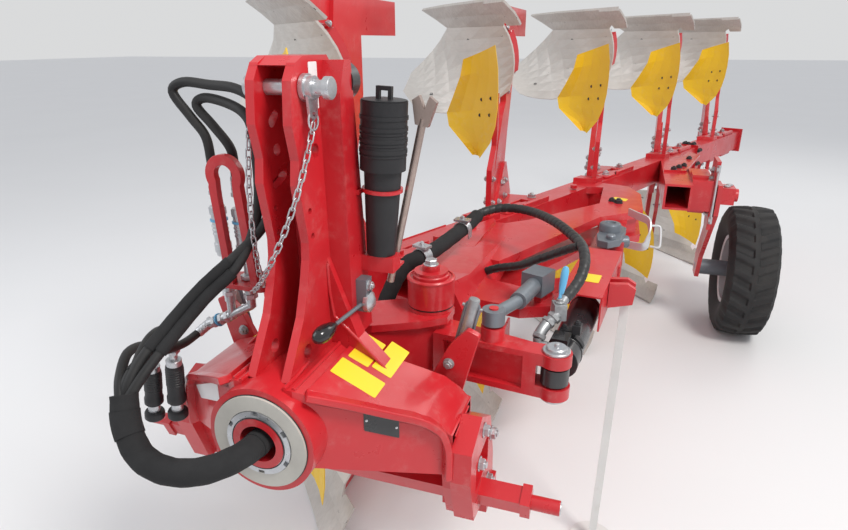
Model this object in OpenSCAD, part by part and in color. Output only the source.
// Reversible moldboard plough with a three-point headstock and a turning beam.
// X runs to the plough's left as it travels towards -Y, Z is up, sizes in mm.

/* [Beam] */
// Angle between the beam and the direction of travel, in degrees
beam_angle = 23.1; // [22:0.1:24]
// Distance between neighbouring bodies along the beam
body_pitch = 967; // [960:1:975]
// Width of the beam's square tube
beam_w = 120; // [114:1:126]
// Height of the beam's square tube
beam_h = 140; // [134:1:146]
// Wall of the beam's tubes
beam_wall = 10; // [8:1:14]
// Height of the turnover axis, which is the beam's middle plane
mid_z = 870; // [860:1:880]

/* [Plough bodies] */
// Angle of the share's edge to the direction of travel, in degrees
share_angle = 40; // [38:1:42]
// Height over which the mouldboard's curve is laid out
board_h = 540; // [530:5:550]
// Thickness of the mouldboard
board_t = 8; // [6:1:10]
// Height of the share strip below the mouldboard
share_h = 95; // [90:1:100]
// Thickness of the share
share_t = 11; // [9:1:13]
// Thickness of the bolted point on the share's tip
point_t = 9; // [8:1:12]
// Thickness of the frog plate behind the mouldboard
frog_t = 28; // [24:1:32]
// Gap between the line of the legs and the beam's side
leg_t = 14; // [12:1:16]
// Thickness of the leg plates
leg_plate = 28; // [24:1:32]
// Height of the landside bar
landside_h = 125; // [120:5:130]
// Length of the landside bar
landside_l = 700; // [660:10:740]

/* [Headstock] */
// Outer radius of the turnover hub
hub_r = 125; // [120:1:130]
// Length of the turnover hub
hub_l = 290; // [280:1:300]
// Outer radius of the hollow turnover shaft
shaft_r = 60; // [56:1:64]
// Radius of the hose passage through the turnover shaft
shaft_bore_r = 43; // [40:1:45]
// Distance between the outer faces of the two mast cheeks
cheek_span = 102; // [100:1:104]
// Thickness of a mast cheek
cheek_t = 20; // [18:1:22]
// Radius of the top link pin
top_pin_r = 15.9; // [15.5:0.1:16.2]
// Distance from the middle to the outer face of a yoke upright
hitch_inner = 360; // [355:1:365]
// Distance from the middle to the shoulder of a lower hitch pin
hitch_shoulder = 538; // [530:1:545]
// Width of the square hitch bar
bar_w = 48; // [44:1:52]
// Thickness of the bolted hitch bracket
bracket_t = 50; // [44:1:56]
// Radius of the lower hitch pins
hitch_pin_r = 18.3; // [18:0.1:18.6]
// Height of the lower hitch shaft
hitch_z = 598; // [590:1:605]

/* [Swing frame] */
// Radius of the upright swing pin
swing_pin_r = 32; // [30:1:34]
// Outer radius of the swing barrel
barrel_r = 62; // [60:1:66]
// Bore radius of the swing cylinder's tube
cylinder_r = 39; // [37:1:41]
// Radius of the swing cylinder's rod
rod_r = 20; // [18:1:22]

/* [Depth wheel] */
// Tyre's outer diameter
tyre_d = 792; // [784:1:800]
// Tyre's width
tyre_w = 268; // [260:1:272]
// Rim's diameter
rim_d = 404; // [396:1:412]
// Radius of the wheel's axle stub
axle_r = 25; // [23:1:28]

/* [Parking stand] */
// Half the width of the stand's flat leg
stand_r = 13; // [12:1:15]
// Radius of the stand's foot
foot_r = 80; // [75:1:90]

/* [Document tube] */
// Radius of the document tube at its top
tube_r = 52; // [50:1:54]

/* [Hidden] */

$fn = 48;
eps = 0.01;
fit = 0.05; // radial clearance of a running fit
play = 6;   // gap between pieces that move past each other

// The plan centre of the whole plough lies this far from the turnover axis.
plan_centre = [367, 2497];
// Heights are laid out from the mast side; the ground lies this far below their zero.
ground_z = -70;

red = [0.78, 0.05, 0.06];
steel = [0.75, 0.76, 0.76];
dark = [0.12, 0.12, 0.13];
yellow = [0.96, 0.78, 0.05];

// Second body's leg, where it meets the beam's left side
leg_two = [117, 1687];
body_count = 5;
body_numbers = [for (i = [0 : body_count - 1]) i - 1];
along = [sin(beam_angle), cos(beam_angle)];
across = [cos(beam_angle), -sin(beam_angle)];
function leg_place(n) = leg_two + along * body_pitch * n;
function beam_point(s, o) = leg_two + along * s + across * o;

beam_front = -1242;
beam_joint = 2320;
beam_rear = 3330;

// Pivot points of the swing frame, seen from above
swing = [200, 500];
arm_end = [555, 420];
rod_pin = [628, 1150];
anchor_pin_r = 16;
eye_gap = 5;    // the rod's eye is open round its pin by this much
adjuster_front = [388, 442];
adjuster_rear = [475, 752];
adjuster_turn = 20;
adjuster_pin_r = 12;
stand_pin_r = 8;
wheel_pin_r = 35;

mast_foot = 990;
column_half = 100;
top_pin_end_r = 15.4;
hub_recess_r = 110;
nut_r = 76;
landside_t = 14;

top_pin = [145, 1575];
hitch_y = 255;
hitch_pin_l = 70;
wheel_pivot = [2600, mid_z];
stop_x = 1130;
stop_t = 20;
wheel_arm_x = stop_x + stop_t + play;
wheel_x = 1426;
wheel_y = 2950;
wheel_z = ground_z + tyre_d / 2;
stand_top = [715, 880, 930];
stand_foot_x = 700;

module placed() { translate([-plan_centre.x, -plan_centre.y, -ground_z]) children(); }

module block(low, high) { translate(low) cube(high - low); }

module rod(a, b, r) {
    d = b - a;
    translate(a) rotate([0, acos(d.z / norm(d)), atan2(d.y, d.x)]) cylinder(r = r, h = norm(d));
}

module x_rod(x0, x1, y, z, r) { translate([x0, y, z]) rotate([0, 90, 0]) cylinder(r = r, h = x1 - x0); }
module y_rod(y0, y1, x, z, r) { translate([x, y1, z]) rotate([90, 0, 0]) cylinder(r = r, h = y1 - y0); }
module z_rod(x, y, z0, z1, r) { translate([x, y, z0]) cylinder(r = r, h = z1 - z0); }

// A plate whose outline is given as [y, z] points, standing from x0 to x1
module side_plate(x0, x1, outline) {
    translate([x0, 0, 0]) rotate([90, 0, 90]) linear_extrude(x1 - x0) polygon(outline);
}

// A plate whose outline is given as [x, z] points, standing from y0 to y1
module front_plate(y0, y1, outline) {
    translate([0, y1, 0]) rotate([90, 0, 0]) linear_extrude(y1 - y0) polygon(outline);
}

// A level plate whose outline is given as [x, y] points
module flat_plate(z0, z1, outline) { translate([0, 0, z0]) linear_extrude(z1 - z0) polygon(outline); }

module at_body(n) { at_leg(n) translate([0, 0, ground_z]) children(); }
module at_leg(n) { translate([leg_place(n).x, leg_place(n).y, 0]) children(); }
module turned_over() { translate([0, 0, 2 * mid_z]) mirror([0, 0, 1]) children(); }
module both_ways() { children(); turned_over() children(); }
module on_beam(s, o) {
    translate([beam_point(s, o).x, beam_point(s, o).y, mid_z]) rotate([0, 0, -beam_angle]) children();
}

// Plough body surface. The share's edge runs back and to the side from its tip,
// and the board rises over it as an arc whose level lines turn as they climb.
tip = [40, -300];
back_dir = [cos(share_angle), sin(share_angle)];
guide_at = 340;
guide = tip + [-sin(share_angle), cos(share_angle)] * guide_at;
cut_slope = 25;
crown_slope = 100;
twist = 40;
arc_r = board_h / (cos(cut_slope) - cos(crown_slope));
function lean(z) = arc_r * (sin(acos(cos(cut_slope) - z / arc_r)) - sin(cut_slope));
function line_dir(z) = let (turn = share_angle + twist * z / board_h) [-sin(turn), cos(turn)];
// A point of the surface at distance s along the level line of height z
function face_point(s, z) = let (p = guide + back_dir * lean(z) + line_dir(z) * s) [p.x, p.y, z];
function unit(v) = v / norm(v);
function face_normal(s, z) = unit(cross(
    face_point(s + 5, z) - face_point(s - 5, z), face_point(s, z + 4) - face_point(s, max(z - 4, 0))));

// A closed skin between two grids of points, each with rows of (cols + 1) points
module skin(front_points, back_points, cols, rows) {
    n = (cols + 1) * (rows + 1);
    function at(k, i, j) = k * n + j * (cols + 1) + i;
    function pair(a, b, c, d, h) = h == 0 ? [a, b, c] : [a, c, d];
    faces_front = [for (i = [0 : cols - 1], j = [0 : rows - 1], h = [0, 1])
        pair(at(0, i, j), at(0, i + 1, j), at(0, i + 1, j + 1), at(0, i, j + 1), h)];
    faces_back = [for (i = [0 : cols - 1], j = [0 : rows - 1], h = [0, 1])
        pair(at(1, i, j), at(1, i, j + 1), at(1, i + 1, j + 1), at(1, i + 1, j), h)];
    side_first = [for (j = [0 : rows - 1], h = [0, 1])
        pair(at(0, 0, j), at(0, 0, j + 1), at(1, 0, j + 1), at(1, 0, j), h)];
    side_last = [for (j = [0 : rows - 1], h = [0, 1])
        pair(at(0, cols, j), at(1, cols, j), at(1, cols, j + 1), at(0, cols, j + 1), h)];
    low_rim = [for (i = [0 : cols - 1], h = [0, 1])
        pair(at(0, i, 0), at(1, i, 0), at(1, i + 1, 0), at(0, i + 1, 0), h)];
    high_rim = [for (i = [0 : cols - 1], h = [0, 1])
        pair(at(0, i, rows), at(0, i + 1, rows), at(1, i + 1, rows), at(1, i, rows), h)];
    polyhedron(points = concat(front_points, back_points),
        faces = concat(faces_front, faces_back, side_first, side_last, low_rim, high_rim), convexity = 4);
}

// A piece of the body's surface between a low and a high line of [s, z] points
module shell(low_line, high_line, rows, depth0, depth1) {
    shell_part(low_line, high_line, rows, [0, len(low_line) - 1], [0, rows], depth0, depth1);
}

// The same, kept to a range of its columns and rows
module shell_part(low_line, high_line, rows, cols_kept, rows_kept, depth0, depth1) {
    function place(i, j) = low_line[i] + (high_line[i] - low_line[i]) * j / rows;
    function layer(depth) = [for (j = [rows_kept[0] : rows_kept[1]], i = [cols_kept[0] : cols_kept[1]])
        let (q = place(i, j)) face_point(q.x, q.y) + face_normal(q.x, q.y) * depth];
    skin(layer(depth0), layer(depth1), cols_kept[1] - cols_kept[0], rows_kept[1] - rows_kept[0]);
}

// Outlines on the surface: distance along the level line, then height
seat = 0.3; // gap between bolted faces of the body's pieces
board_low = [[-125, share_h], [30, share_h], [180, share_h], [324, share_h], [420, 145], [500, 195],
    [568, 242], [612, 275], [648, 306]];
board_high = [[18, 362], [95, 410], [180, 448], [260, 470], [340, 480], [424, 479], [500, 470],
    [560, 455], [660, 393]];
edge_lift = 10.5; // keeps the underside of the share's edge on the ground
share_low = [[-340, edge_lift], [-80, edge_lift], [190, edge_lift], [450, edge_lift + 4]];
share_high = [for (k = [0 : 3]) [board_low[k].x, share_h - seat]];
point_low = [[-356, edge_lift], [-200, edge_lift]];
point_high = [[-262, 88], [-176, 88]];
board_rows = 7;

// One arm of the yoke sweeps back and down from the hub to the upright that holds the hitch shaft.
module yoke_arm() {
    hull() {
        block([50, -25, mid_z - 70], [70, 222, mast_foot]);
        block([hitch_inner - 30, 165, 705], [hitch_inner, 335, 815]);
    }
    side_plate(hitch_inner - 30, hitch_inner, [
        [165, 810], [330, 815], [340, 640], [315, 550], [225, 540], [190, 640]]);
}

module headstock() {
    color(red) placed() {
        difference() {
            union() {
                y_rod(-50, hub_l - 50, 0, mid_z, hub_r);
                for (side = [0, 1]) mirror([side, 0, 0]) yoke_arm();
            }
            y_rod(-51, hub_l - 49, 0, mid_z, shaft_r + fit);
            y_rod(-51, -40, 0, mid_z, hub_recess_r);
            hitch_bar(hitch_inner + 1, bar_w);
        }
    }
}

cheek_outline = [
    [-2, mast_foot], [77, 1104], [103, 1170], [119, 1222], [122, 1260], [99, 1387], [107, 1437], [91, 1507],
    [100, 1590], [122, 1622], [150, 1634], [250, 1634], [285, 1600], [322, mast_foot]];

module mast() {
    color(red) placed() difference() {
        union() {
            for (side = [0, 1]) mirror([side, 0, 0]) {
                side_plate(cheek_span / 2 - cheek_t, cheek_span / 2, cheek_outline);
                front_plate(195, 235, [[51, mast_foot], [70, mast_foot], [190, 918.2], [190, 940], [120, 1010], [51, 1200]]);
            }
            side_plate(-column_half, column_half, [
                [215, mast_foot], [205, 1560], [231, 1624], [262, 1624], [322, mast_foot]]);
            side_plate(-cheek_span / 2, cheek_span / 2, [[118, 1617], [150, 1634], [250, 1634], [250, 1600]]);
        }
        y_rod(-60, 400, 0, mid_z, hub_r);
        y_rod(262, 330, 62, 1580, 42 + fit);
        side_plate(-column_half + 12, column_half - 12, [[240, 1000], [235, 1590], [252, 1590], [300, 1000]]);
        x_rod(-60, 60, top_pin.x, top_pin.y, top_pin_end_r + fit);
        for (spot = [[83, 1024, 16], [136, 1327, 7], [141, 1271, 7]]) x_rod(-60, 60, spot[0], spot[1], spot[2]);
        for (spot = [[176, 1447], [240, 1335]]) x_rod(0, 60, spot[0], spot[1], 15);
        x_rod(-60, 0, 161, 1447, 13);
        for (spot = [[150, 1505, 165, 1517], [145, 1378, 180, 1390]]) hull() {
            x_rod(-60, 0, spot[0], spot[1], 11);
            x_rod(-60, 0, spot[2], spot[3], 11);
        }
    }
}

// The square hitch bar, turned so that an edge leads
module hitch_bar(half, w) {
    translate([-half, hitch_y, hitch_z]) rotate([20, 0, 0]) translate([0, -w / 2, -w / 2]) cube([2 * half, w, w]);
}

module end_plates() {
    color(red) placed() for (side = [0, 1]) mirror([side, 0, 0]) difference() {
        union() {
            side_plate(hitch_inner, hitch_inner + bracket_t, [
                [250, 820], [350, 760], [400, 610], [405, 540], [280, 540], [190, 560], [145, 700], [150, 780]]);
            block([hitch_inner - 60, 290, 500], [hitch_inner + bracket_t + 10, 410, 540]);
        }
        hitch_bar(hitch_inner + bracket_t + 1, bar_w);
        block([hitch_inner + bracket_t - 22, 200, 640], [hitch_inner + bracket_t + 1, 330, 720]);
    }
}

module hitch_shaft() {
    color(red) placed() {
        hitch_bar(hitch_shoulder - 24, bar_w);
        for (side = [0, 1]) mirror([side, 0, 0]) {
            translate([hitch_shoulder - 24, hitch_y, hitch_z]) rotate([20, 0, 0])
                translate([0, -29, -29]) cube([24, 58, 58]);
            x_rod(hitch_shoulder, hitch_shoulder + hitch_pin_l, hitch_y, hitch_z, hitch_pin_r);
        }
    }
}

module top_link_pin() {
    color(steel) placed() {
        x_rod(-75, 112, top_pin.x, top_pin.y, top_pin_end_r);
        x_rod(-cheek_span / 2 + cheek_t + 0.5, cheek_span / 2 - cheek_t - 0.5, top_pin.x, top_pin.y, top_pin_r);
        x_rod(cheek_span / 2 + 2, cheek_span / 2 + 12, top_pin.x, top_pin.y, 27);
        x_rod(cheek_span / 2 + 12, cheek_span / 2 + 26, top_pin.x, top_pin.y, 23);
        x_rod(100, 112, top_pin.x, top_pin.y, 22);
        x_rod(-75, -66, top_pin.x, top_pin.y, 22);
        difference() {
            side_plate(cheek_span / 2 + 14, cheek_span / 2 + 20, [
                [125, 1560], [165, 1560], [160, 1520], [145, 1512], [130, 1520]]);
            x_rod(0, 90, 145, 1526, 6);
        }
    }
}

module hub_ring() {
    color([0.8, 0.79, 0.74]) placed() difference() {
        y_rod(-57, -40, 0, mid_z, hub_recess_r - fit);
        y_rod(-58, -39, 0, mid_z, nut_r + 1);
    }
}

neck_r = 95;
neck_end = 340;

module turnover_shaft() {
    color(red) placed() difference() {
        union() {
            y_rod(-62, hub_l - 49, 0, mid_z, shaft_r);
            y_rod(hub_l - 50 + play, neck_end, 0, mid_z, neck_r);
            y_rod(hub_l - 51, hub_l - 50 + play, 0, mid_z, shaft_r);
        }
        y_rod(-63, neck_end + 1, 0, mid_z, shaft_bore_r);
    }
}

module shaft_nut() {
    color(steel) placed() difference() {
        y_rod(-60, -40.5, 0, mid_z, nut_r);
        y_rod(-63, -40, 0, mid_z, shaft_r);
        for (turn = [0 : 60 : 300]) translate([0, 0, mid_z]) rotate([0, turn, 0])
            block([-7, -61, nut_r - 8], [7, -50, nut_r + 2]);
    }
}

barrel_half = 110;
plate_t = 20;

module console() {
    color(red) placed() z_rod(arm_end.x, arm_end.y, mid_z - 30, mid_z + 30, arm_pin_r);
    color(red) placed() difference() {
        union() {
            for (z = [mid_z - 100, mid_z + 100 - plate_t]) flat_plate(z, z + plate_t, [
                [-90, neck_end], [90, neck_end], [200, 400], [262, 450], [262, 520], [200, 562], [130, 540],
                [-50, 440], [-100, 390]]);
            difference() {
                flat_plate(mid_z - 80, mid_z + 80, [
                    [-80, neck_end], [80, neck_end], [240, 450], [240, 520], [150, 530], [-40, 430], [-80, 390]]);
                block([-shaft_bore_r, neck_end - 1, mid_z - 40], [shaft_bore_r, 600, mid_z + 40]);
            }
            z_rod(swing.x, swing.y, mid_z - barrel_half, mid_z + barrel_half, barrel_r);
            console_arm();
        }
        z_rod(swing.x, swing.y, mid_z - barrel_half - 1, mid_z + barrel_half + 1, swing_pin_r + fit);
        z_rod(arm_end.x, arm_end.y, mid_z - 29, mid_z + 29, 52);
        flat_plate(mid_z - 29, mid_z + 29, [
            [arm_end.x - 52, arm_end.y], [arm_end.x + 52, arm_end.y], [arm_end.x + 62, arm_end.y + 80],
            [arm_end.x - 42, arm_end.y + 80]]);
    }
}

arm_pin_r = 16;

// The arm that carries the swing cylinder's foot, with the boss for the adjuster's eye
module console_arm() {
    difference() {
        flat_plate(mid_z - 62, mid_z + 62, [
            [230, 425], [arm_end.x - 40, arm_end.y - 26], [arm_end.x + 20, arm_end.y - 33],
            [arm_end.x + 20, arm_end.y + 33], [arm_end.x - 60, arm_end.y + 34], [245, 520]]);
        flat_plate(mid_z - 46, mid_z + 46, [
            [260, 400], [arm_end.x - 80, arm_end.y - 60], [arm_end.x - 80, arm_end.y - 8], [260, 452]]);
        flat_plate(mid_z - 46, mid_z + 46, [
            [260, 540], [arm_end.x - 80, arm_end.y + 60], [arm_end.x - 80, arm_end.y + 8], [260, 470]]);
    }
    z_rod(arm_end.x, arm_end.y, mid_z - 62, mid_z + 62, 40);
    z_rod(adjuster_front.x, adjuster_front.y, mid_z + 50, mid_z + 100, 32);
    z_rod(adjuster_front.x, adjuster_front.y, mid_z + 90, mid_z + 150, adjuster_pin_r);
}

module barrel_seals() {
    color(dark) placed() for (z = [mid_z - barrel_half - 4.8, mid_z + barrel_half]) difference() {
        z_rod(swing.x, swing.y, z, z + 4.8, barrel_r - 2);
        z_rod(swing.x, swing.y, z - 1, z + 6, swing_pin_r + fit);
    }
}

// Transport lock on the yoke: an upright ear with a pin and its wire bail
module turnover_lock() {
    color(red) placed() front_plate(335.2, 355, [[225, 800], [330, 800], [345, 860], [378, 985], [345, 1000], [300, 950]]);
    color(steel) placed() {
        rod([349, 372, 975], [360, 372, 1075], 15);
        rod([340, 355, 1000], [355, 372, 1000], 8);
        for (x = [[334, 300], [383, 312]]) rod([x[0], 366, 1068], [x[1], 366, 860], 4);
        rod([300, 366, 860], [312, 366, 860], 4);
    }
}

cyl_dir = unit([rod_pin.x - arm_end.x, rod_pin.y - arm_end.y, 0]);
cyl_l = norm(rod_pin - arm_end);
cyl_turn = atan2(rod_pin.x - arm_end.x, rod_pin.y - arm_end.y);
cyl_outer = cylinder_r + 7;
function cyl_point(s) = [arm_end.x, arm_end.y, mid_z] + cyl_dir * s;
module on_cylinder() { translate([arm_end.x, arm_end.y, mid_z]) rotate([0, 0, -cyl_turn]) children(); }

module cylinder_barrel() {
    color(dark) placed() difference() {
        union() {
            z_rod(arm_end.x, arm_end.y, mid_z - 23, mid_z + 23, 36);
            rod(cyl_point(20), cyl_point(62), 23);
            rod(cyl_point(60), cyl_point(430), cyl_outer);
            on_cylinder() block([-30, 66, 30], [14, 120, 62]);
        }
        z_rod(arm_end.x, arm_end.y, mid_z - 30, mid_z + 30, arm_pin_r + fit);
        rod(cyl_point(80), cyl_point(431), rod_r + fit);
    }
}

module cylinder_rod() {
    color(steel) placed() difference() {
        union() {
            rod(cyl_point(150), cyl_point(cyl_l - 25), rod_r);
            z_rod(rod_pin.x, rod_pin.y, mid_z - 22, mid_z + 22, 36);
        }
        z_rod(rod_pin.x, rod_pin.y, mid_z - 30, mid_z + 30, anchor_pin_r + eye_gap);
    }
}

module beam_bar(s0, s1, grow) {
    on_beam(0, beam_w / 2 + leg_t) block([-beam_w / 2 - grow, s0, -beam_h / 2 - grow], [beam_w / 2 + grow, s1, beam_h / 2 + grow]);
}

module beam() {
    color(red) placed() difference() {
        union() {
            beam_bar(beam_front, beam_joint, 0);
            beam_bar(beam_front, beam_front + 12, 12);
        }
        beam_bar(beam_front + 20, beam_joint + 20, -beam_wall);
    }
}

module beam_extension() {
    color(red) placed() {
        difference() {
            beam_bar(beam_joint, beam_rear, 0);
            beam_bar(beam_joint - 20, beam_rear + 20, -beam_wall);
        }
        beam_bar(beam_rear, beam_rear + 16, 22);
        difference() {
            beam_bar(beam_joint - 30, beam_joint + 30, 14);
            beam_bar(beam_joint - 40, beam_joint + 40, 0);
        }
    }
}

fork_z = barrel_half + 5;
function beam_edge(s) = beam_point(s, beam_w + leg_t - 2);

// The box girder that joins the upright swing pin to the beam
module girder() {
    intersection() {
        front_plate(590, 1470, [
            [140, mid_z + 150], [222, mid_z + 150], [285, mid_z + 20], [285, mid_z - 20],
            [222, mid_z - 150], [140, mid_z - 150], [110, mid_z - 40], [110, mid_z + 40]]);
        side_plate(90, 300, [[585, mid_z + 140], [760, mid_z + 106], [1400, mid_z + 68], [1470, mid_z + 68],
            [1470, mid_z - 68], [1400, mid_z - 68], [760, mid_z - 106], [585, mid_z - 140]]);
    }
}

module front_frame() {
    color(red) placed() {
        difference() {
            union() {
                girder();
                both_ways() {
                    flat_plate(mid_z + fork_z, mid_z + fork_z + 28, [
                        [swing.x - 58, swing.y], [swing.x + 58, swing.y], [220, 640], [142, 640]]);
                    z_rod(swing.x, swing.y, mid_z + fork_z, mid_z + fork_z + 75, 64);
                    z_rod(swing.x, swing.y, mid_z + fork_z + 75, mid_z + fork_z + 95, 46);
                    z_rod(swing.x, swing.y, mid_z + fork_z + 95, mid_z + fork_z + 110, 24);
                    flat_plate(mid_z + 50, mid_z + 88, [
                        [-76, 897], [-50, 868], [60, 830], [180, 800], [180, 1440], beam_edge(-190)]);
                    for (spot = [[-43, 895], [7, 1022], [32, 1090], [85, 1240]])
                        z_rod(spot[0], spot[1], mid_z + 88, mid_z + 110, 15);
                }
                flat_plate(mid_z - 50, mid_z + 50, [
                    [20, 850], [120, 820], [180, 1440], beam_edge(-190), beam_edge(-600)]);
                adjuster_lug();
            }
            beam_bar(beam_front - 100, beam_joint, 0);
        }
        z_rod(swing.x, swing.y, mid_z - fork_z - 1, mid_z + fork_z + 1, swing_pin_r);
    }
}

// The lug that the adjuster's clevis straddles
module adjuster_lug() {
    flat_plate(mid_z + 24, mid_z + 58, [[250, 690], [420, 660], [505, 700], [505, 790], [270, 860]]);
    translate([adjuster_rear.x, adjuster_rear.y, 0]) rotate([0, 0, -adjuster_turn])
        block([-11, -36, mid_z + 50], [11, 40, mid_z + 124]);
}

module inner_arm() {
    color(red) placed() difference() {
        union() {
            both_ways() flat_plate(mid_z + 40, mid_z + 75, [
                [235, 1000], [290, 985], [460, 1365], [591, 1663], [705, 1766], [768, 1840], [760, 2140], [700, 2300],
                beam_edge(780), beam_edge(640), [576, 2240], [576, 1900], [303, 1522], [216, 1440]]);
            flat_plate(mid_z - 40, mid_z + 40, [
                [620, 1800], [700, 1800], [745, 1850], [738, 2130], [690, 2270], beam_edge(760), beam_edge(680), [600, 2200]]);
            flat_plate(mid_z - 110, mid_z - 60, [[240, 1000], [300, 950], [620, 1180], [640, 1290], [570, 1300], [262, 1090]]);
        }
        girder();
        beam_bar(0, beam_joint, 0);
    }
}

module rod_anchor() {
    color(red) placed() {
        both_ways() {
            flat_plate(mid_z + 28, mid_z + 60, [
                [rod_pin.x - 68, rod_pin.y - 55], [rod_pin.x + 62, rod_pin.y - 55], [700, 1450], [700, 1580], [600, 1580], [590, 1450]]);
            flat_plate(mid_z + 28, mid_z + 40, [[600, 1580], [700, 1580], [705, 1766], [700, 1800], [620, 1800]]);
        }
        flat_plate(mid_z - 28, mid_z + 28, [[600, 1480], [700, 1480], [700, 1800], [620, 1800]]);
        z_rod(rod_pin.x, rod_pin.y, mid_z - 50, mid_z + 50, anchor_pin_r);
    }
}

guard_half = 57;
guard_t = 5;

module cylinder_guard() {
    color(red) placed() {
        on_cylinder() difference() {
            block([-guard_half - guard_t, 300, -10], [guard_half + guard_t, 740, 98]);
            block([-guard_half, 299, -11], [guard_half, 741, 98 - guard_t]);
            block([-guard_half - guard_t - 1, 299, -11], [0, 741, 50]);
            block([-guard_half - guard_t - 1, 660, -11], [guard_half + guard_t + 1, 741, 60]);
        }
        for (y = [stand_top.y - 32, stand_top.y + 14]) difference() {
            front_plate(y, y + 18, [[662, 880], [735, 900], [740, 950], [715, 965], [662, 960]]);
            y_rod(y - 1, y + 19, stand_top.x, stand_top.z, stand_pin_r);
        }
        y_rod(stand_top.y - 32, stand_top.y + 32, stand_top.x, stand_top.z, stand_pin_r);
    }
}

// The bracket that carries both legs of a body beside the beam
module leg_bracket() {
    flat_plate(mid_z - 66, mid_z + 66, [[0.2, -30], [14, -30], [14 + 0.4265 * 250 - 1, 250], [0.2, 250]]);
    flat_plate(mid_z - 66, mid_z + 66, [
        [0.2, 120], [108, 260], [108, 300], [-leg_plate, 300], [-leg_plate, 235], [0.2, 235]]);
    both_ways() side_plate(0.2, 15, [[-30, mid_z + 66], [150, mid_z + 250], [190, mid_z + 250], [330, mid_z + 66]]);
}

module leg_brackets() {
    color(red) placed() difference() {
        for (n = body_numbers) at_leg(n) leg_bracket();
        beam_bar(beam_front, beam_rear, 0);
    }
}

mid_h = mid_z - ground_z;

// The leg with its frog: heights are above the ground
module leg() {
    side_plate(-leg_plate, 0, [
        [-28, mid_h], [200, mid_h], [204, 760], [250, 560], [310, 400], [330, 330], [330, 133], [84, 133],
        [98, 150], [134, 200], [158, 250], [176, 300], [187, 372], [187, 415], [130, 470], [60, 580],
        [-10, 720], [-28, 850]]);
    side_plate(-leg_plate + landside_t + seat, 0, [[130, 20], [330, 20], [330, 140], [110, 140]]);
    shell_part(board_low, board_high, board_rows, [0, 1], [1, 5], board_t + seat, board_t + frog_t);
}

module legs_lower() { color(red) placed() for (n = body_numbers) at_body(n) leg(); }
module legs_upper() { color(red) placed() turned_over() for (n = body_numbers) at_body(n) leg(); }

module board() { shell(board_low, board_high, board_rows, 0, board_t); }
module share() {
    shell(share_low, share_high, 2, 0, share_t);
    shell(point_low, point_high, 2, -point_t, -eps);
}

module boards_lower() { color(steel) placed() for (n = body_numbers) at_body(n) board(); }
module boards_upper() { color(steel) placed() turned_over() for (n = body_numbers) at_body(n) board(); }
module shares_lower() { color(steel) placed() for (n = body_numbers) at_body(n) share(); }
module shares_upper() { color(steel) placed() turned_over() for (n = body_numbers) at_body(n) share(); }

landside_low = 6;
landside_top = landside_low + landside_h;
module landside() {
    side_plate(-leg_plate, -leg_plate + landside_t, [
        [-158, landside_low], [landside_l, landside_low], [landside_l, landside_top], [124, landside_top],
        [106, 107], [90, 100], [38, 94], [2, 70], [-78, 35]]);
}
module landsides_lower() { color(red) placed() for (n = body_numbers) at_body(n) landside(); }
module landsides_upper() { color(red) placed() turned_over() for (n = body_numbers) at_body(n) landside(); }

// A skimmer is a small curved body: each row runs from its left edge to its right edge.
skim_rows = [
    [[-127, -112, 222], [31, -235, 166]], [[-140, -106, 290], [45, -235, 250]], [[-185, -60, 380], [48, -230, 330]],
    [[-225, -10, 450], [45, -215, 410]], [[-212, -20, 505], [35, -200, 480]], [[-130, -75, 570], [10, -170, 550]],
    [[-78, -112, 612], [-42, -128, 622]]];
skim_cols = 4;
skim_t = 7;
skim_bulge = 30;
function skim_at(j, a, depth) = let (row = skim_rows[j])
    row[0] + (row[1] - row[0]) * a + [0, skim_bulge * 4 * a * (1 - a) + depth, 0];
// Part of the skimmer's surface between two rows and two shares of its width
module skim_skin(j0, j1, a0, a1, depth0, depth1) {
    function grid(depth) = [for (j = [j0 : j1], i = [0 : skim_cols]) skim_at(j, a0 + (a1 - a0) * i / skim_cols, depth)];
    skin(grid(depth1), grid(depth0), skim_cols, j1 - j0);
}
module skimmer() { skim_skin(0, len(skim_rows) - 1, 0, 1, 0, skim_t); }

stem_top = mid_h - beam_h / 2 - 26;
module skimmer_stem() {
    skim_skin(2, 4, 0.6, 0.95, skim_t + seat, 45);
    side_plate(14, 36, [
        [-176, 350], [-140, 350], [-128, 500], [-178, 650], [-190, stem_top + 1], [-235, stem_top + 1], [-235, 650],
        [-158, 560], [-158, 440]]);
    flat_plate(stem_top, stem_top + 25.8, [[-50, -170], [66, -170], [34, -245], [-83, -245]]);
}
module skimmer_stems() { color(red) placed() both_ways() for (n = body_numbers) at_body(n) skimmer_stem(); }
module skimmers_lower() { color(yellow) placed() for (n = body_numbers) at_body(n) skimmer(); }
module skimmers_upper() { color(yellow) placed() turned_over() for (n = body_numbers) at_body(n) skimmer(); }

// The adjuster between the console's arm and the frame: an eye, a cranked body and a clevis block
adjuster_z = mid_z + 130;
module turnbuckle() {
    color(steel) placed() difference() {
        union() {
            z_rod(adjuster_front.x, adjuster_front.y, adjuster_z - 24, adjuster_z + 16, 30);
            rod([adjuster_front.x, adjuster_front.y, adjuster_z], [432, 545, adjuster_z], 17);
            rod([432, 545, adjuster_z], [adjuster_rear.x - 20, adjuster_rear.y - 70, adjuster_z - 4], 24);
            translate([adjuster_rear.x, adjuster_rear.y, adjuster_z]) rotate([0, 0, -adjuster_turn])
                block([-34, -80, -36], [34, 0, 30]);
        }
        z_rod(adjuster_front.x, adjuster_front.y, adjuster_z - 80, adjuster_z + 60, adjuster_pin_r + fit);
        translate([adjuster_rear.x, adjuster_rear.y, adjuster_z]) rotate([0, 0, -adjuster_turn])
            block([-18, -60, -40], [18, 1, 14]);
    }
}

wheel_tube_x = [885, 1025];
tube_wall = 12;

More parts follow.
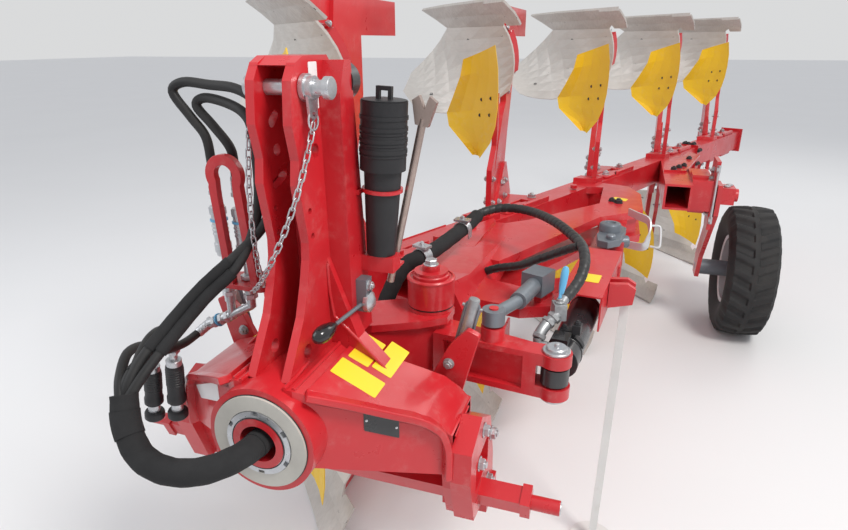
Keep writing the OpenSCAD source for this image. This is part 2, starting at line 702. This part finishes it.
module wheel_mount() {
    color(red) placed() difference() {
        union() {
            flat_plate(mid_z - 70, mid_z + 70, [
                [wheel_tube_x[0], 2450], [wheel_tube_x[1], 2450], [wheel_tube_x[1], 3474], [wheel_tube_x[0], 3146]]);
            both_ways() flat_plate(mid_z + 70, mid_z + 82, [[889, 2777], [1008, 2785], [1131, 3364], [1065, 3461]]);
            block([wheel_tube_x[1], 2520, mid_z - 84], [stop_x, 2860, mid_z + 84]);
            block([wheel_tube_x[1], 2560, mid_z - 104], [stop_x - 24, 2700, mid_z + 104]);
        }
        block([wheel_tube_x[0] + tube_wall, 2449, mid_z - 70 + tube_wall], [wheel_tube_x[1] - tube_wall, 3100, mid_z + 70 - tube_wall]);
        x_rod(stop_x - 31, stop_x + 1, wheel_pivot.x, wheel_pivot.y, wheel_pin_r + fit);
        beam_bar(0, beam_rear, 0);
    }
}

module stop_plate() {
    color(red) placed() difference() {
        side_plate(stop_x, stop_x + stop_t, [[2520, mid_z + 190], [2690, mid_z + 190], [2700, mid_z - 60], [2660, mid_z - 190], [2540, mid_z - 190]]);
        x_rod(stop_x - 10, stop_x + 30, wheel_pivot.x, wheel_pivot.y, wheel_pin_r + fit);
        for (z = [mid_z + 80, mid_z + 130, mid_z - 110]) x_rod(stop_x - 10, stop_x + 30, wheel_pivot.x, z, 9);
    }
}

module wheel_arm() {
    color(red) placed() difference() {
        union() {
            side_plate(wheel_arm_x, wheel_arm_x + 24, [[2530, mid_z + 60], [2670, mid_z + 60], [2720, mid_z - 60],
                [3010, 400], [3010, 275], [2890, 275], [2840, 420], [2540, 760]]);
            x_rod(stop_x - 30, wheel_arm_x + 110, wheel_pivot.x, wheel_pivot.y, wheel_pin_r);
            block([wheel_arm_x + 20, 2545, mid_z - 45], [wheel_arm_x + 90, 2655, mid_z + 45]);
        }
        x_rod(wheel_arm_x - 2, wheel_arm_x + 30, wheel_y, wheel_z, axle_r + fit);
    }
}

module wheel_hub() {
    color(steel) placed() {
        x_rod(wheel_arm_x, wheel_x + 5, wheel_y, wheel_z, axle_r);
        x_rod(wheel_arm_x + 24, wheel_x - 48, wheel_y, wheel_z, 48);
    }
}

module rim() {
    color([0.85, 0.86, 0.86]) placed() translate([wheel_x, wheel_y, wheel_z]) rotate([0, 90, 0]) rotate_extrude()
        polygon([[axle_r + fit, -40], [55, -40], [55, -8], [rim_d / 2 - 12, -8], [rim_d / 2 - 12, -95],
            [rim_d / 2 + 8, -100], [rim_d / 2, -92], [rim_d / 2, 92], [rim_d / 2 + 8, 100],
            [rim_d / 2 - 12, 95], [rim_d / 2 - 12, 8], [55, 8], [55, 40], [axle_r + fit, 40]]);
}

module tyre() {
    half = tyre_w / 2;
    r = tyre_d / 2;
    color(dark) placed() translate([wheel_x, wheel_y, wheel_z]) rotate([0, 90, 0]) rotate_extrude()
        polygon([[rim_d / 2, -92], [rim_d / 2 + 9, -100], [r - 110, -half], [r - 50, -half], [r - 10, -half * 0.8],
            [r, -half * 0.4], [r, half * 0.4], [r - 10, half * 0.8], [r - 50, half], [r - 110, half],
            [rim_d / 2 + 9, 100], [rim_d / 2, 92]]);
}

module stand_leg() {
    color(steel) placed() difference() {
        union() {
            front_plate(stand_top.y - 8, stand_top.y + 8, [
                [stand_foot_x - stand_r, ground_z + 12], [stand_foot_x + stand_r, ground_z + 12],
                [stand_top.x + stand_r, stand_top.z], [stand_top.x - stand_r, stand_top.z]]);
            y_rod(stand_top.y - 8, stand_top.y + 8, stand_top.x, stand_top.z, 20);
        }
        y_rod(stand_top.y - 9, stand_top.y + 9, stand_top.x, stand_top.z, stand_pin_r + fit);
    }
}
module stand_foot() { color([0.9, 0.9, 0.88]) placed() z_rod(stand_foot_x, stand_top.y, ground_z, ground_z + 12, foot_r); }

tube_foot = [140, 300, 1190];
tube_head = [158, 300, 1540];
tube_dir = unit(tube_head - tube_foot);
tube_length = norm(tube_head - tube_foot);
tube_turn = atan2(tube_dir.x, tube_dir.z);
module on_tube() { translate(tube_foot) rotate([0, tube_turn, 0]) children(); }

module document_tube() {
    color(dark) placed() on_tube() difference() {
        cylinder(r1 = tube_r - 18, r2 = tube_r - 5, h = tube_length - 60);
        translate([0, 0, 6]) cylinder(r1 = tube_r - 22, r2 = tube_r - 9, h = tube_length - 50);
    }
}

module tube_lid() {
    color(dark) placed() on_tube() {
        difference() {
            union() {
                translate([0, 0, tube_length - 150]) cylinder(r = tube_r, h = 150);
                for (k = [0 : 3]) translate([0, 0, tube_length - 110 + 24 * k]) cylinder(r = tube_r + 2, h = 8);
            }
            translate([0, 0, tube_length - 151]) cylinder(r = tube_r - 4, h = 145);
        }
        difference() {
            translate([-18, -6, tube_length]) cube([36, 12, 30]);
            translate([-10, -7, tube_length - 1]) cube([20, 14, 22]);
        }
    }
}

wrench_low = [148, 334, 1105];
wrench_high = [235, 334, 1500];
clip_place = wrench_low + (wrench_high - wrench_low) * 0.12;

module tube_hoops() {
    color(red) placed() {
        block([column_half, 274, 1150], [180, 320, 1187.8]);
        block([column_half, 262, 1336], [column_half + 6, 290, 1346]);
        on_tube() translate([0, 0, 150]) difference() {
            cylinder(r = 47, h = 8);
            translate([0, 0, -1]) cylinder(r = 41.4, h = 10);
        }
        difference() {
            block([140, 319, clip_place.z - 3], [178, 352, clip_place.z + 3]);
            rod(wrench_low, wrench_high, 9.3);
        }
    }
}

module wrench() {
    color(steel) placed() difference() {
        union() {
            rod(wrench_low, wrench_high, 9);
            front_plate(326, 342, [[218, 1488], [248, 1482], [268, 1535], [252, 1548], [240, 1520], [228, 1550], [212, 1540]]);
        }
    }
}

module mast_lever() {
    color(steel) placed() {
        block([column_half + 0.2, 236, 1060], [column_half + 26, 270, 1140]);
        rod([column_half + 14, 240, 1080], [98, 120, 1075], 5);
    }
}

module turn_cylinder_head() { color(dark) placed() y_rod(262, 300, 62, 1580, 42); }

module hose_holder() {
    color(red) placed() difference() {
        union() {
            front_plate(190, 210, [[-242, 886.7], [-200, 912.1], [-200, 1110], [-242, 1110]]);
            translate([0, 210, 0]) rotate([90, 0, 0]) linear_extrude(20) polygon([
                [-245, 1090], [-180, 1090], [-150, 1340], [-165, 1400], [-195, 1420], [-230, 1400], [-240, 1340]]);
        }
        translate([-195, 0, 1360]) rotate([90, 0, 0]) translate([0, 0, -220]) cylinder(r = 26, h = 60);
        block([-222, 180, 1130], [-186, 220, 1340]);
    }
}

headstock();
mast();
end_plates();
hitch_shaft();
top_link_pin();
hub_ring();
hose_holder();
document_tube();
tube_lid();
tube_hoops();
wrench();
mast_lever();
turn_cylinder_head();
turnover_shaft();
shaft_nut();
console();
barrel_seals();
turnover_lock();
cylinder_barrel();
cylinder_rod();
beam();
front_frame();
inner_arm();
rod_anchor();
cylinder_guard();
leg_brackets();
beam_extension();
legs_lower();
legs_upper();
boards_lower();
boards_upper();
shares_lower();
shares_upper();
landsides_lower();
landsides_upper();
skimmer_stems();
skimmers_lower();
skimmers_upper();
turnbuckle();
wheel_mount();
stop_plate();
wheel_arm();
wheel_hub();
rim();
tyre();
stand_leg();
stand_foot();
